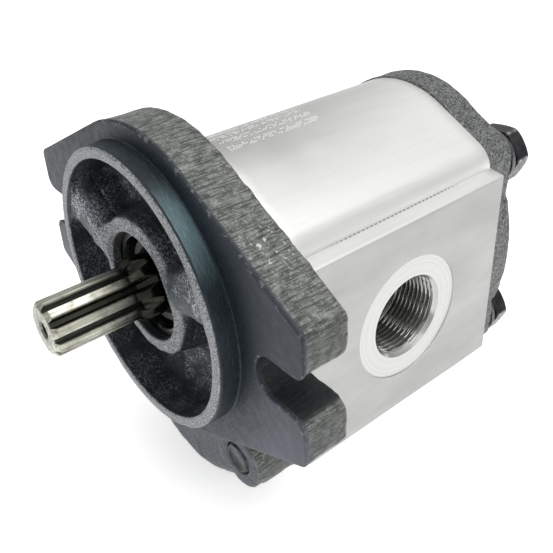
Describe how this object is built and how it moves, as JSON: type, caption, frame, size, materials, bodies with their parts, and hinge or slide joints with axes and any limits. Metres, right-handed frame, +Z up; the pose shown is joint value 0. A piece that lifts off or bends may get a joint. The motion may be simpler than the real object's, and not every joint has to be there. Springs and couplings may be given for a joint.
{
  "type": "hydraulic gear pump",
  "caption": "External gear pump: cast iron two-bolt flange with a round pilot, splined shaft, aluminium body with threaded side ports, and a bolted rear cover.",
  "frame": {"origin": "centre of the pilot on the mounting face, on the drive shaft's axis", "axes": "+Y runs back from the mounting face along the drive shaft, so the shaft end points to -Y; +X is to the right seen from the shaft end; +Z is up, from the driven gear to the drive gear"},
  "size_m": [0.1294, 0.1523, 0.1195],
  "materials": {
    "cast_iron": "as-cast edges, machined mounting face, black oiled finish",
    "aluminium_body": "extruded, satin, milled port faces",
    "bearing_alloy": "machined",
    "shaft_steel": "hardened and ground, light oil film",
    "bush_bronze": "bronze-lined plain bearing",
    "seal_case_steel": "pressed steel",
    "spring_steel": "phosphated spring steel",
    "seal_rubber": "moulded nitrile rubber",
    "backup_plastic": "moulded",
    "dowel_steel": "ground",
    "black_bolt": "black oxide"
  },
  "bodies": {
    "housing": {"front_cover": "cast_iron", "body": "aluminium_body", "rear_cover": "cast_iron", "front_bearing_block": "bearing_alloy", "rear_bearing_block": "bearing_alloy", "front_drive_bush": "bush_bronze", "rear_drive_bush": "bush_bronze", "front_driven_bush": "bush_bronze", "rear_driven_bush": "bush_bronze", "shaft_seal_case": "seal_case_steel", "shaft_seal_lip": "seal_rubber", "shaft_seal_spring": "spring_steel", "seal_retaining_ring": "spring_steel", "front_body_seal": "seal_rubber", "rear_body_seal": "seal_rubber", "front_pressure_seal": "seal_rubber", "rear_pressure_seal": "seal_rubber", "front_backup_ring": "backup_plastic", "rear_backup_ring": "backup_plastic", "front_dowels": "dowel_steel", "rear_dowels": "dowel_steel", "through_bolts": "black_bolt", "bolt_washers": "black_bolt"},
    "drive": {"drive_gear_shaft": "shaft_steel"},
    "driven": {"driven_gear_shaft": "shaft_steel"}
  },
  "joints": [
    {"name": "drive_spin", "type": "hinge", "parent": "housing", "child": "drive", "pos_m": [0, 0, 0], "axis": [0, 1, 0], "continuous": true},
    {"name": "driven_spin", "type": "hinge", "parent": "housing", "child": "driven", "pos_m": [0, 0, -0.039], "axis": [0, 1, 0], "continuous": true}
  ],
  "couplings": [
    {"joint": "driven_spin", "follows": "drive_spin", "ratio": -1}
  ]
}
